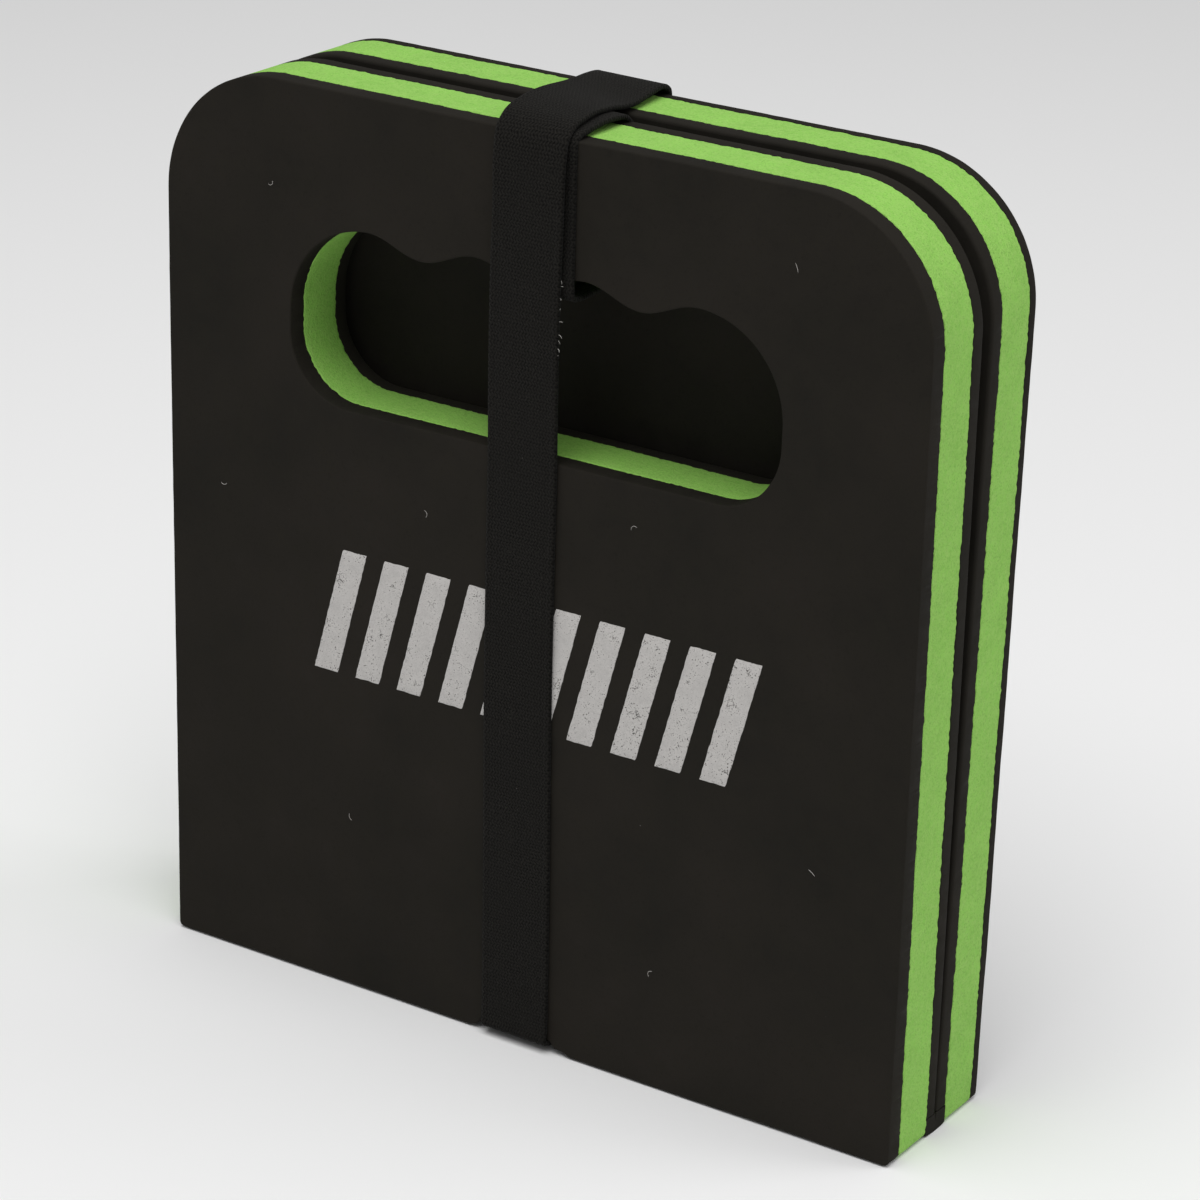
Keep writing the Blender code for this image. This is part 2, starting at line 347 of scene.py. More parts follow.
def make_panel(prefix, side, body, layer_faces, with_hole):
    """Outer skin, core and inner skin. layer_faces are the four Y planes from outside to inside."""
    pad = bpy.context.scene.kneeler_foam
    outer, core_outer, core_inner, inner = layer_faces
    seed = 10 if side < 0 else 50
    holes = [(hole_outline(), -1)] if with_hole else []
    full = [(panel_outline(pad.foot_lift, pad.bottom_radius), 1)] + holes
    short = [(panel_outline(WEB_HIGH.z, 0.15 * MM), 1)] + holes

    thick = abs(core_outer - outer)
    profile = rounded_edge(pad.skin_rounding)
    profile += [(0.0, thick - 0.35 * MM), (0.05 * MM, thick - 0.2 * MM), (GROOVE, thick)]
    skin = make_layer(f"{prefix}_skin_foam", outer, core_outer, side, full, profile,
                      (None, seed, seed + 1))
    dress(skin, skin_foam(), body, "foam_skin", f"{prefix}_outer_skin")

    thick = abs(core_inner - core_outer)
    profile = [(GROOVE, 0.0), (0.02 * MM, 0.22 * MM), (0.0, 0.6 * MM)]
    profile += [(0.0, thick * share) for share in (0.25, 0.5, 0.75)]
    profile += [(0.0, thick - 0.6 * MM), (0.02 * MM, thick - 0.22 * MM), (GROOVE, thick)]
    core = make_layer(f"{prefix}_core_foam", core_outer, core_inner, side, full, profile,
                      (seed, seed + 2, seed + 3))
    dress(core, core_foam(), body, "foam_core", f"{prefix}_core")

    thick = abs(inner - core_inner)
    edge = [(inset, thick - depth) for inset, depth in reversed(rounded_edge(pad.liner_rounding, 4))]
    profile = [(GROOVE, 0.0), (0.05 * MM, 0.2 * MM), (0.0, 0.5 * MM)] + edge
    liner = make_layer(f"{prefix}_liner_foam", core_inner, inner, side, short, profile,
                       (seed + 2, None, seed + 4))
    dress(liner, skin_foam(), body, "foam_skin", f"{prefix}_inner_skin")


def make_fold_web():
    """The bent strip of the inner sheet, which wraps round the seam at the foot of the pad."""
    pad = bpy.context.scene.kneeler_foam
    half, top = pad.width / 2, WEB_HIGH.z
    front = lean((CORE_HIGH.y + LINER_LOW.y) / 2, 0, -1)
    rear = lean((REAR_CORE_LOW.y + REAR_LINER_HIGH.y) / 2, 0, 1)
    middle, reach = (front + rear) / 2, (rear - front) / 2
    bm = bmesh.new()
    steps_y, steps_x = 16, ceil(pad.width / OUTLINE_STEP)
    section = [(front, top)]
    for i in range(steps_y + 1):
        y = front + 2 * reach * i / steps_y
        section.append((y, pad.foot_lift * ((y - middle) / reach) ** 2))
    section += [(rear, top), (middle + SEAM, top), (middle, top - SEAM_DEPTH), (middle - SEAM, top)]
    verts = [bm.verts.new((-half, y, z)) for y, z in section]
    face = bm.faces.new(verts)
    previous = [face]
    for _ in range(steps_x):
        made = bmesh.ops.extrude_face_region(bm, geom=previous)["geom"]
        moved = [item for item in made if isinstance(item, bmesh.types.BMVert)]
        bmesh.ops.translate(bm, vec=(pad.width / steps_x, 0, 0), verts=moved)
        bmesh.ops.delete(bm, geom=previous if previous[0] is not face else [], context="FACES_ONLY")
        previous = [item for item in made if isinstance(item, bmesh.types.BMFace)]
    for vert in bm.verts:
        if vert.co.z < top - 0.5 * MM:
            vert.co.z += strap_dent(vert.co.x)
    web = finish_mesh(bm, "fold_web_foam", 60)
    dress(web, skin_foam(), "fold", "foam_skin", "fold_hinge")
    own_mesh(web)


def make_print():
    """A row of slanted bars printed across the front face."""
    row = bpy.context.scene.kneeler_print
    rise, run, half = row.bar_height / 2, row.slant / 2, row.bar_width / 2
    pitch = (row.row_width - row.bar_width - row.slant) / (row.bars - 1)
    bm = bmesh.new()
    for i in range(row.bars):
        x = row.centre_x + (i - (row.bars - 1) / 2) * pitch
        corners = [(x - run - half, -rise), (x - run + half, -rise), (x + run + half, rise),
                   (x + run - half, rise)]
        outline = resample([Vector(corner) for corner in corners], 0.8 * MM)
        normals = outward(outline)
        ring, caps = None, []
        for inset, off in ((0.0, -0.1 * MM), (0.0, 0.03 * MM), (0.05 * MM, 0.05 * MM)):
            places = []
            for point, normal in zip(outline, normals):
                wobble = 0.16 * MM * noise.noise(Vector((point.x, point.y, i)) / (1.4 * MM))
                spot = point - normal * (inset + wobble)
                z = row.centre_z + spot.y
                places.append(Vector((spot.x, lean(FRONT_FACE, z, -1) - off, z)))
            ring = extrude_ring(bm, ring, places) if ring else first_ring(bm, places)
            caps.append(ring)
        for ring in (caps[0], caps[-1]):
            bmesh.ops.triangle_fill(bm, use_beauty=True, edges=ring_edges(bm, ring))
    bars = finish_mesh(bm, "print_bars_ink", 60)
    dress(bars, print_ink(), "front_panel", "ink")


# ---------------------------------------------------------------- webbing

def catmull_rom(a, b, c, d, t):
    """A point between b and c on a smooth curve through all four."""
    return 0.5 * (2 * b + (c - a) * t + (2 * a - 5 * b + 4 * c - d) * t ** 2
                  + (3 * b - a - 3 * c + d) * t ** 3)


ROLL_SCALE = 0.001 * MM         # carries a degree of roll beside the coordinates at next to no length


def closed_curve(points, spacing):
    """A smooth closed line through points of (x, y, z, roll), resampled at equal spacing."""
    fine = []
    count = len(points)
    points = [Vector((x, y, z, roll * ROLL_SCALE)) for x, y, z, roll in points]
    for i in range(count):
        a, b, c, d = (points[(i + k) % count] for k in (-1, 0, 1, 2))
        steps = max(2, ceil((c - b).length / (spacing / 3)))
        fine += [catmull_rom(a, b, c, d, s / steps) for s in range(steps)]
    return resample(fine, spacing)


def webbing_section(width, thickness):
    """(across, out) pairs round the webbing's cross-section, with a barely raised selvage."""
    half, lift, edge = width / 2, thickness / 2, 0.45 * MM
    upper = [(-half + edge, lift), (-half + 1.0 * MM, lift + 0.02 * MM), (-half + 1.7 * MM, lift),
             (-half + 2.0 * MM, lift - 0.04 * MM), (-half + 2.4 * MM, lift)]
    core = [(-half + 2.4 * MM + (width - 4.8 * MM) * i / 10, lift) for i in range(1, 10)]
    upper += core + [(-across, out) for across, out in reversed(upper)]
    side = [(half - 0.12 * MM, lift - 0.15 * MM), (half, 0.0), (half - 0.12 * MM, 0.15 * MM - lift)]
    lower = [(across, -out) for across, out in reversed(upper)]
    far = [(-across, -out) for across, out in side]
    return upper + side + lower + far


def sweep_webbing(name, points, width, thickness):
    """A closed ribbon along points of (x, y, z, roll). Its UV map is in metres: across, and along."""
    stations = closed_curve(points, 1.1 * MM)
    count = len(stations)
    centres = [Vector(s[:3]) for s in stations]
    spots = []
    walked = 0.0
    for i, centre in enumerate(centres):
        along = (centres[(i + 1) % count] - centres[i - 1]).normalized()
        across = Vector((1, 0, 0)) - along * along.x
        across = Matrix.Rotation(radians(stations[i][3] / ROLL_SCALE), 3, along) @ across.normalized()
        spots.append((centre, across, across.cross(along), walked))
        walked += (centres[(i + 1) % count] - centre).length
    section = webbing_section(width, thickness)
    bm = bmesh.new()
    station_layer = bm.verts.layers.int.new("station")
    across_layer = bm.verts.layers.float.new("across")
    ring = None
    for across_at, out_at in section + section[:1]:
        places = [c + a * across_at + n * out_at for c, a, n, _ in spots]
        ring = extrude_ring(bm, ring, places) if ring else first_ring(bm, places)
        for i, vert in enumerate(ring):
            vert[station_layer] = i
            vert[across_layer] = across_at
    bmesh.ops.remove_doubles(bm, verts=bm.verts, dist=0.001 * MM)
    uv_layer = bm.loops.layers.uv.new("webbing")
    for face in bm.faces:
        wraps = {loop.vert[station_layer] for loop in face.loops} == {0, count - 1}
        for loop in face.loops:
            i = loop.vert[station_layer]
            length = walked if wraps and i == 0 else spots[i][3]
            loop[uv_layer].uv = (loop.vert[across_layer], length)
    return finish_mesh(bm, name, 60)


def front_y(z, gap):
    """Y of the middle of webbing that lies this far off the front face."""
    strap = bpy.context.scene.kneeler_strap
    return lean(FRONT_FACE, z, -1) - gap - strap.thickness / 2


def rear_y(z, gap):
    """Y of the middle of webbing that lies this far off the rear face."""
    strap = bpy.context.scene.kneeler_strap
    return lean(REAR_FACE, z, 1) + gap + strap.thickness / 2


def drift_at(z, drift):
    """X of the band's middle at this height."""
    for (low_z, low_x), (high_z, high_x) in zip(drift, drift[1:]):
        if z <= high_z * MM:
            share = (z / MM - low_z) / (high_z - low_z)
            return (low_x + (high_x - low_x) * share) * MM
    return drift[-1][1] * MM


def make_band():
    """The elastic band, from under the fold up the front, over the top and down the back."""
    strap = bpy.context.scene.kneeler_strap
    half = strap.thickness / 2
    under = strap.clearance + half
    points = [(drift_at(z * MM, FRONT_DRIFT), front_y(z * MM, gap * MM), z * MM, 0)
              for z, gap in BAND_FRONT]
    for y, z, roll in BAND_TOP:
        share = min(max((y - TOP_START) / TOP_LENGTH, 0.0), 1.0)
        x = (1 - share) * drift_at(z * MM, FRONT_DRIFT) + share * drift_at(z * MM, REAR_DRIFT)
        points.append((x, FRONT_FACE + y * MM, z * MM, roll))
    points += [(drift_at(z * MM, REAR_DRIFT), rear_y(z * MM, BAND_REAR_GAP), z * MM, 0) for z in BAND_REAR]
    points += [(0.1 * MM, rear_y(7.5 * MM, 0.3 * MM), 7.5 * MM, 0),
               (0.1 * MM, rear_y(3.6 * MM, 0.65 * MM), 3.6 * MM, 0),
               (0.1 * MM, rear_y(0, -0.5 * MM), under + 0.5 * MM, 0),
               (0.1 * MM, rear_y(0, -4 * MM), under, 0),
               (0.2 * MM, 0, under, 0),
               (0.3 * MM, front_y(0, -4 * MM), under, 0),
               (0.4 * MM, front_y(0, -0.5 * MM), under + 0.5 * MM, 0)]
    band = sweep_webbing("strap_band_webbing", points, strap.width, strap.thickness)
    dress(band, webbing(), "strap", "webbing", "strap_band")
    crumple(band)


def make_handle_loop():
    """The small loop round the bar above the hole, which keeps the band on the pad."""
    strap = bpy.context.scene.kneeler_strap
    pad = bpy.context.scene.kneeler_foam
    half = strap.thickness / 2
    bar = pad.hole_top - pad.finger_depth
    inner = LINER_HIGH.y
    x = strap.loop_shift
    points = [(x, front_y(z * MM, LOOP_GAP), z * MM, 0) for z in (206, 218, 230)]
    points += [(x, FRONT_FACE + y * MM, z * MM, 1) for y, z in LOOP_TOP]
    points += [(x, lean(inner, z * MM, -1) + half + LOOP_GAP, z * MM, 0) for z in (238, 228, 215, 206)]
    points += [(x, lean(inner, bar, -1) - 1.0 * MM, bar - half - 0.1 * MM, 0),
               (x, (FRONT_FACE + inner) / 2, bar - half - 0.05 * MM, 0),
               (x, lean(FRONT_FACE, bar, -1) + 1.0 * MM, bar - half - 0.1 * MM, 0)]
    loop = sweep_webbing("handle_loop_webbing", points, strap.width, strap.thickness)
    dress(loop, webbing(), "front_panel", "webbing", "handle_loop")


def make_tack(name, place, body, node_name):
    """A dense zigzag bar of thread across the webbing, lying half sunk in its surface."""
    rng = random.Random(len(name))
    reach, spread, rows, turns = 7.0 * MM, 2.4 * MM, 3, 22
    bm = bmesh.new()
    for row in range(rows):
        path = []
        for i in range(turns + 1):
            x = -reach + 2 * reach * i / turns + rng.uniform(-0.06, 0.06) * MM
            up = spread / 2 * (1 if (i + row) % 2 else -1) + rng.uniform(-0.12, 0.12) * MM
            path.append((x + 0.11 * MM * row, 0.04 * MM * sin(i * 2.1 + row), up))
        for start, end in zip(path, path[1:]):
            make_stitch(bm, Vector(start), Vector(end), 0.17 * MM)
    bmesh.ops.translate(bm, vec=place, verts=bm.verts)
    tack = finish_mesh(bm, name, 60)
    dress(tack, thread(), body, "thread", node_name)
    return tack


def make_tube(bm, sections):
    """One closed tube through rings of places."""
    rings = [first_ring(bm, sections[0])]
    for places in sections[1:]:
        rings.append(extrude_ring(bm, rings[-1], places))
    for cap in (rings[0], rings[-1]):
        bm.faces.new(cap)


def make_stitch(bm, start, end, radius):
    """One slightly arched run of thread, thinner at its ends where it enters the webbing."""
    along = (end - start).normalized()
    across = along.cross(Vector((0, 1, 0))).normalized()
    sections = []
    for share, size, rise in STITCH_PROFILE:
        centre = start.lerp(end, share) - Vector((0, rise * radius, 0))
        sections.append([centre + (across * cos(a) + Vector((0, 1, 0)) * sin(a)) * radius * size
                         for a in (2 * pi * k / 6 for k in range(6))])
    make_tube(bm, sections)


def make_fibre(bm, points, radius):
    """One fine fibre along a few points, thinner at its ends."""
    sections = []
    for i, point in enumerate(points):
        along = (points[min(i + 1, len(points) - 1)] - points[max(i - 1, 0)]).normalized()
        side = along.cross(Vector((0, 1, 0.3))).normalized()
        rise = side.cross(along)
        size = radius * (0.4 if i in (0, len(points) - 1) else 1)
        sections.append([point + (side * cos(a) + rise * sin(a)) * size
                         for a in (2 * pi * k / 5 for k in range(5))])
    make_tube(bm, sections)


def make_frayed_ends():
    """Pale ends of the elastic's rubber, standing out of the band's right edge."""
    strap = bpy.context.scene.kneeler_strap
    rng = random.Random(7)
    bm = bmesh.new()
    for z in FRAY_HEIGHTS:
        z = (z + rng.uniform(-0.4, 0.4)) * MM
        edge = drift_at(z, FRONT_DRIFT) + strap.width / 2
        start = Vector((edge - 0.3 * MM, front_y(z, 1.6 * MM) - 0.35 * MM, z))
        reach, fall = rng.uniform(0.5, 1.5) * MM, rng.uniform(-0.9, 0.9) * MM
        points = [start + Vector((reach * t, 0.25 * MM * sin(3 * t) - 0.2 * MM * t, fall * t * t))
                  for t in (0, 0.35, 0.7, 1)]
        make_fibre(bm, points, rng.uniform(0.05, 0.09) * MM)
    frayed = finish_mesh(bm, "frayed_rubber_ends", 80)
    dress(frayed, fibre(), "strap", "lint")
    crumple(frayed)


def make_lint():
    """A few curled hairs of lint on the front face."""
    rng = random.Random(23)
    bm = bmesh.new()
    for x, z in LINT_PLACES:
        turn, bend = rng.uniform(0, 2 * pi), rng.uniform(-1.6, 1.6)
        spot = Vector((x * MM, 0, z * MM))
        points = []
        for _ in range(7):
            points.append(Vector((spot.x, lean(FRONT_FACE, spot.z, -1) - 0.06 * MM, spot.z)))
            spot += Vector((cos(turn), 0, sin(turn))) * rng.uniform(0.3, 0.5) * MM
            turn += bend / 3
        make_fibre(bm, points, 0.055 * MM)
    dress(finish_mesh(bm, "lint_fibres", 80), fibre(), "front_panel", "lint")


def crumple(piece):
    """Gives a piece of the band its own copy of its mesh."""
    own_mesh(piece)


# ---------------------------------------------------------------- materials

def node(tree, kind, inputs=None, **settings):
    """Adds a shader node. Each input is a value, or the socket that feeds it."""
    made = tree.nodes.new(kind)
    for key, value in settings.items():
        setattr(made, key, value)
    for key, value in (inputs or {}).items():
        if isinstance(value, bpy.types.NodeSocket):
            tree.links.new(value, made.inputs[key])
        else:
            made.inputs[key].default_value = value
    return made


def new_material(name, roughness, specular):
    """An empty material with its node tree and shader."""
    material = bpy.data.materials.new(name)
    material.use_nodes = True
    shader = material.node_tree.nodes["Principled BSDF"]
    shader.inputs["Roughness"].default_value = roughness
    shader.inputs["Specular IOR Level"].default_value = specular
    return material, material.node_tree, shader


def calc(tree, operation, a, b=0.0):
    """One step of arithmetic on shader values."""
    return node(tree, "ShaderNodeMath", {0: a, 1: b}, operation=operation).outputs[0]


def add_bump(tree, shader, height, strength, distance):
    """Lets a height pattern roughen the surface."""
    bump = node(tree, "ShaderNodeBump", {"Strength": strength, "Distance": distance, "Height": height})
    tree.links.new(bump.outputs["Normal"], shader.inputs["Normal"])


def ramp_between(tree, value, low, high, out_low=0.0, out_high=1.0):
    """Maps value from low..high to out_low..out_high, and holds it beyond them."""
    return node(tree, "ShaderNodeMapRange", {
        "Value": value, "From Min": low, "From Max": high, "To Min": out_low, "To Max": out_high,
    }).outputs["Result"]


def grain(tree, coords, size, detail=2.0, roughness=0.5):
    """Noise whose features are about this size, in metres."""
    return node(tree, "ShaderNodeTexNoise", {
        "Vector": coords, "Scale": 1 / size, "Detail": detail, "Roughness": roughness,
    }).outputs["Fac"]


def mix_colour(tree, factor, a, b, blend_type="MIX"):
    """Colour a, blended towards b by this factor."""
    made = node(tree, "ShaderNodeMix", data_type="RGBA", blend_type=blend_type)
    for socket, value in ((made.inputs[0], factor), (made.inputs[6], a), (made.inputs[7], b)):
        if isinstance(value, bpy.types.NodeSocket):
            tree.links.new(value, socket)
        else:
            socket.default_value = value
    return made.outputs[2]


def shade(colour, amount):
    """The colour made darker or lighter, with full alpha."""
    return (*(channel * amount for channel in colour[:3]), 1)


def specks(tree, coords, cell, radius, share):
    """Tiny lint specks: 1 inside a speck, with only this share of the cells holding one."""
    cells = node(tree, "ShaderNodeTexVoronoi", {"Vector": coords, "Scale": 1 / cell, "Randomness": 1.0})
    inside = ramp_between(tree, cells.outputs["Distance"], radius / cell, 0.5 * radius / cell)
    lucky = node(tree, "ShaderNodeSeparateColor", {"Color": cells.outputs["Color"]}).outputs[0]
    chosen = calc(tree, "LESS_THAN", lucky, share)
    return calc(tree, "MULTIPLY", inside, chosen)


def skin_foam():
    """Near-black closed-cell foam skin: matt, faintly mottled, finely pored, with a little lint."""
    made = bpy.data.materials.get("skin_foam")
    if made:
        return made
    colour = bpy.context.scene.kneeler_foam.skin_colour
    material, tree, shader = new_material("skin_foam", 0.78, 0.08)
    coords = node(tree, "ShaderNodeTexCoord").outputs["Object"]
    clouds = grain(tree, coords, 34 * MM, 4, 0.55)
    mottle = grain(tree, coords, 5 * MM, 3, 0.6)
    pores = grain(tree, coords, 0.9 * MM, 4, 0.65)
    base = mix_colour(tree, ramp_between(tree, clouds, 0.3, 0.7), shade(colour, 0.82),
                      (colour[0] * 1.22, colour[1] * 1.14, colour[2] * 1.16, 1))
    base = mix_colour(tree, ramp_between(tree, mottle, 0.35, 0.7, 0.0, 0.5), base, shade(colour, 1.35))
    base = mix_colour(tree, ramp_between(tree, pores, 0.55, 0.75, 0.0, 0.35), base, shade(colour, 0.45))
    lint = specks(tree, coords, 9 * MM, 0.16 * MM, 0.16)
    base = mix_colour(tree, calc(tree, "MULTIPLY", lint, 0.55), base, (0.3, 0.29, 0.27, 1))
    tree.links.new(base, shader.inputs["Base Color"])
    rough = ramp_between(tree, mottle, 0.3, 0.7, 0.68, 0.9)
    tree.links.new(rough, shader.inputs["Roughness"])
    height = calc(tree, "ADD", pores, calc(tree, "MULTIPLY", mottle, 1.4))
    add_bump(tree, shader, height, 0.35, 0.12 * MM)
    return material


def core_foam():
    """Lime closed-cell foam, cut open, so its surface is finely granular."""
    made = bpy.data.materials.get("core_foam")
    if made:
        return made
    colour = bpy.context.scene.kneeler_foam.core_colour
    material, tree, shader = new_material("core_foam", 0.85, 0.2)
    coords = node(tree, "ShaderNodeTexCoord").outputs["Object"]
    clouds = grain(tree, coords, 9 * MM, 3, 0.6)
    cells = grain(tree, coords, 1.3 * MM, 4, 0.7)
    pores = grain(tree, coords, 0.45 * MM, 2, 0.5)
    base = mix_colour(tree, ramp_between(tree, clouds, 0.3, 0.7), shade(colour, 0.88), shade(colour, 1.07))
    base = mix_colour(tree, ramp_between(tree, cells, 0.3, 0.7), base,
                      (colour[0] * 1.22, colour[1] * 1.02, colour[2] * 1.35, 1))
    base = mix_colour(tree, ramp_between(tree, pores, 0.52, 0.72, 0.0, 0.6), base, shade(colour, 0.62))
    pits = specks(tree, coords, 7 * MM, 0.35 * MM, 0.25)
    base = mix_colour(tree, calc(tree, "MULTIPLY", pits, 0.5), base, shade(colour, 0.45))
    tree.links.new(base, shader.inputs["Base Color"])
    height = calc(tree, "ADD", cells, calc(tree, "MULTIPLY", pores, 0.5))
    add_bump(tree, shader, height, 0.9, 0.28 * MM)
    return material


def webbing():
    """Black knitted elastic: fine crosswise ribs, and columns of stitches that lean to and fro.
    Its grooves carry painted shade, and its ridges and stray fibres painted highlights.
    """
    made = bpy.data.materials.get("knitted_webbing")
    if made:
        return made
    colour = bpy.context.scene.kneeler_strap.colour
    material, tree, shader = new_material("knitted_webbing", 0.9, 0.06)
    uv = node(tree, "ShaderNodeUVMap", uv_map="webbing").outputs["UV"]
    parts = node(tree, "ShaderNodeSeparateXYZ", {"Vector": uv})
    across, along = parts.outputs[0], parts.outputs[1]
    object_coords = node(tree, "ShaderNodeTexCoord").outputs["Object"]
    drift = grain(tree, object_coords, 2.4 * MM, 2)
    along = calc(tree, "ADD", along, calc(tree, "MULTIPLY", drift, 0.9 * MM))
    across = calc(tree, "ADD", across, calc(tree, "MULTIPLY", drift, 0.5 * MM))
    rows = calc(tree, "SINE", calc(tree, "MULTIPLY", along, 2 * pi / (0.92 * MM)))
    sway = calc(tree, "PINGPONG", along, 0.92 * MM)
    leaning = calc(tree, "ADD", across, calc(tree, "MULTIPLY", sway, 0.7))
    columns = calc(tree, "SINE", calc(tree, "MULTIPLY", leaning, 2 * pi / (0.9 * MM)))
    # fine fibre noise: it roughens the bump, and below its peaks are painted as highlights
    fuzz_relief_and_highlight = grain(tree, object_coords, 0.35 * MM, 3, 0.65)
    clouds = grain(tree, object_coords, 10 * MM, 3, 0.5)
    # the knit's relief: it drives the bump, and below it also paints the colour as shade and highlight
    knit_relief_and_shade = calc(tree, "ADD", calc(tree, "MULTIPLY", rows, 0.35), calc(tree, "MULTIPLY", columns, 0.55))
    height = calc(tree, "ADD", calc(tree, "MULTIPLY", knit_relief_and_shade, 0.7), calc(tree, "MULTIPLY", fuzz_relief_and_highlight, 1.6))
    # painted shade and highlight: the knit's grooves are painted darker and its ridges lighter, following
    # its relief
    base = mix_colour(tree, ramp_between(tree, knit_relief_and_shade, -0.8, 0.8), shade(colour, 0.2), shade(colour, 2.2))
    # painted highlights: bright flecks where stray fibres would catch the light
    base = mix_colour(tree, ramp_between(tree, fuzz_relief_and_highlight, 0.52, 0.68, 0.0, 0.8), base, shade(colour, 3.2))
    base = mix_colour(tree, ramp_between(tree, clouds, 0.3, 0.7, 0.0, 0.3), base, shade(colour, 1.4))
    lint = specks(tree, object_coords, 4 * MM, 0.15 * MM, 0.16)
    base = mix_colour(tree, calc(tree, "MULTIPLY", lint, 0.5), base, (0.25, 0.24, 0.23, 1))
    tree.links.new(base, shader.inputs["Base Color"])
    shader.inputs["Sheen Weight"].default_value = 0.03
    shader.inputs["Sheen Roughness"].default_value = 0.5
    add_bump(tree, shader, height, 0.9, 0.16 * MM)
    return material


def thread():
    """Black polyester sewing thread."""
    made = bpy.data.materials.get("sewing_thread")
    if made:
        return made
    colour = bpy.context.scene.kneeler_strap.thread_colour
    material, tree, shader = new_material("sewing_thread", 0.6, 0.3)
    coords = node(tree, "ShaderNodeTexCoord").outputs["Object"]
    fibres = grain(tree, coords, 0.25 * MM, 2)
    base = mix_colour(tree, ramp_between(tree, fibres, 0.3, 0.7), shade(colour, 0.7), shade(colour, 1.3))
    tree.links.new(base, shader.inputs["Base Color"])
    return material


def fibre():
    """Pale lint and frayed rubber ends."""
    made = bpy.data.materials.get("pale_fibre")
    if made:
        return made
    material, tree, shader = new_material("pale_fibre", 0.7, 0.2)
    coords = node(tree, "ShaderNodeTexCoord").outputs["Object"]
    tone = ramp_between(tree, grain(tree, coords, 1.5 * MM), 0.3, 0.7)
    base = mix_colour(tree, tone, (0.42, 0.40, 0.37, 1), (0.62, 0.60, 0.57, 1))
    tree.links.new(base, shader.inputs["Base Color"])
    return material


def print_ink():
    """Silver-grey screen print, which has cracked and rubbed off in tiny specks."""
    made = bpy.data.materials.get("printed_ink")
    if made:
        return made
    colour = bpy.context.scene.kneeler_print.colour
    skin = bpy.context.scene.kneeler_foam.skin_colour
    material, tree, shader = new_material("printed_ink", 0.6, 0.25)
    coords = node(tree, "ShaderNodeTexCoord").outputs["Object"]
    pores = grain(tree, coords, 0.38 * MM, 2, 0.6)
    wear = grain(tree, coords, 4.5 * MM, 3, 0.6)
    cracks = node(tree, "ShaderNodeTexVoronoi", {"Vector": coords, "Scale": 1 / (2.3 * MM)},
                  feature="DISTANCE_TO_EDGE").outputs["Distance"]
    gone = calc(tree, "ADD", pores, calc(tree, "MULTIPLY", wear, 0.35))
    bare = ramp_between(tree, gone, 0.78, 0.86)
    line = calc(tree, "MULTIPLY", ramp_between(tree, cracks, 0.045, 0.015),
                ramp_between(tree, wear, 0.58, 0.66))
    bare = calc(tree, "MAXIMUM", bare, calc(tree, "MULTIPLY", line, 0.8))
    ink = mix_colour(tree, ramp_between(tree, wear, 0.3, 0.7), shade(colour, 0.86), shade(colour, 1.08))
    ink = mix_colour(tree, ramp_between(tree, pores, 0.3, 0.6, 0.45, 0.0), ink, shade(colour, 0.55))
    base = mix_colour(tree, bare, ink, shade(skin, 1.6))
    tree.links.new(base, shader.inputs["Base Color"])
    add_bump(tree, shader, pores, 0.4, 0.06 * MM)
    return material


# ---------------------------------------------------------------- settings

def length(name, description, default):
    """A setting in metres."""
    return FloatProperty(name=name, description=description, unit="LENGTH", default=default)


def tint(name, description, default):
    """A setting for a colour."""
    return FloatVectorProperty(name=name, description=description, subtype="COLOR", size=3, default=default)


class KneelerFoam(bpy.types.PropertyGroup):
    width: length("Width", "Side to side", SKIN_HIGH.x - SKIN_LOW.x)
    corner_radius: length("Corner radius", "Radius of the top corners", 33.8 * MM)
    bottom_radius: length("Bottom corner radius", "Radius beside the fold", 1.2 * MM)
    foot_lift: length("Foot lift", "The cut edges' height above the fold web", 0.5 * MM)
    skin_rounding: length("Skin rounding", "Radius of the outer skins' edges", 0.5 * MM)
    liner_rounding: length("Liner rounding", "Radius of the inner sheet's edges", 0.8 * MM)
    dent_depth: length("Strap dent", "How far the strap presses into the edge", 2.85 * MM)
    lean: length("Lean", "How far each panel's foot closes on the other", 2.4 * MM)
    hole_half_width: length("Hole half width", "Half the handle hole's width", 71.4 * MM)
    hole_bottom: length("Hole bottom", "Height of the hole's lower edge", 160 * MM)
    hole_top: length("Hole top", "Height of the finger lobes' tops", 207 * MM)
    hole_top_radius: length("Hole top radius", "Upper end arcs of the hole", 24 * MM)
    hole_low_radius: length("Hole lower radius", "Lower corner arcs of the hole", 17.6 * MM)
    finger_depth: length("Finger depth", "Depth of the finger lobes", 4.2 * MM)
    web_keep: FloatProperty(name="Web share", description="Thickness kept as the pad opens",
                            default=0.9, min=0.1, max=0.99)
    flat_top: length("Flat top", "Height of the opened mat's upper surface", 24.3 * MM)
    skin_colour: tint("Skin", "Colour of the foam skins", (0.0160, 0.0146, 0.0116))
    core_colour: tint("Core", "Colour of the foam cores", (0.262, 0.570, 0.096))


class KneelerStrap(bpy.types.PropertyGroup):
    width: length("Width", "Width of the elastic", BAND_HIGH.x - BAND_LOW.x)
    thickness: length("Thickness", "Thickness of the elastic", 1.3 * MM)
    clearance: length("Clearance", "The band's underside above the ground", BAND_LOW.z)
    loop_shift: length("Loop shift", "The small loop's offset to the right", 3.4 * MM)
    crumple_y: length("Crumple line", "Y of the line that the band folds on", -26.3 * MM)
    crumple_keep: FloatProperty(name="Crumple share", description="Thickness kept by the loose band",
                                default=0.16, min=0.05, max=1.0)
    colour: tint("Webbing", "Colour of the elastic", (0.0074, 0.0069, 0.0060))
    thread_colour: tint("Thread", "Colour of the sewing thread", (0.012, 0.0115, 0.011))


